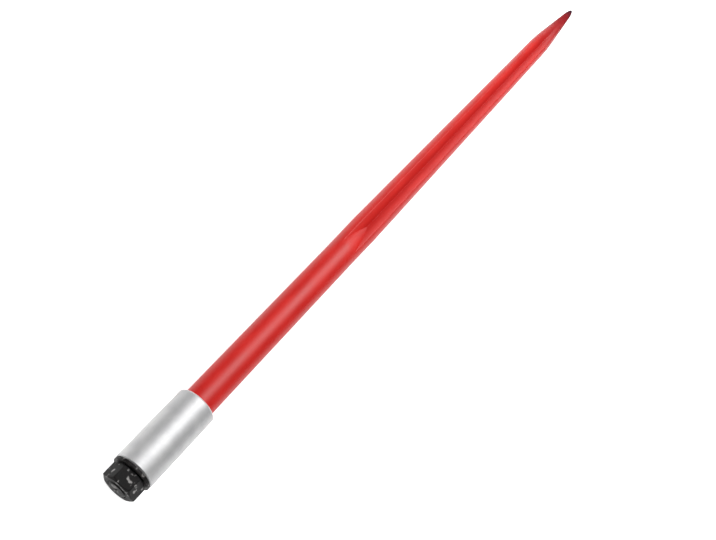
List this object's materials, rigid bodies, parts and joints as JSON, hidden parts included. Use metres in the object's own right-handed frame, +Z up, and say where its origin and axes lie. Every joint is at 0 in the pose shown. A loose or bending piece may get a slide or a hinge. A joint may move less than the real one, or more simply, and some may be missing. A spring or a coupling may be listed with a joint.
{
  "type": "bale spear",
  "caption": "Forged round bar that turns into a grooved, tapering spear point, with a weld-in sleeve, flat washer and hexagon nut at its rear end.",
  "frame": {"origin": "on the spear's axis, at mid-length of the weld-in sleeve", "axes": "+X along the spear towards its point, +Z up out of one broad grooved face, +Y sideways across the grooves"},
  "size_m": [1.2446, 0.0572, 0.0572],
  "materials": {
    "red_coat": "satin powder coat",
    "bare_steel": "turned, satin",
    "black_oxide": "black oxide, semi-gloss"
  },
  "bodies": {
    "root": {"spear": "red_coat", "sleeve": "bare_steel", "washer": "black_oxide", "nut": "black_oxide"}
  },
  "joints": []
}
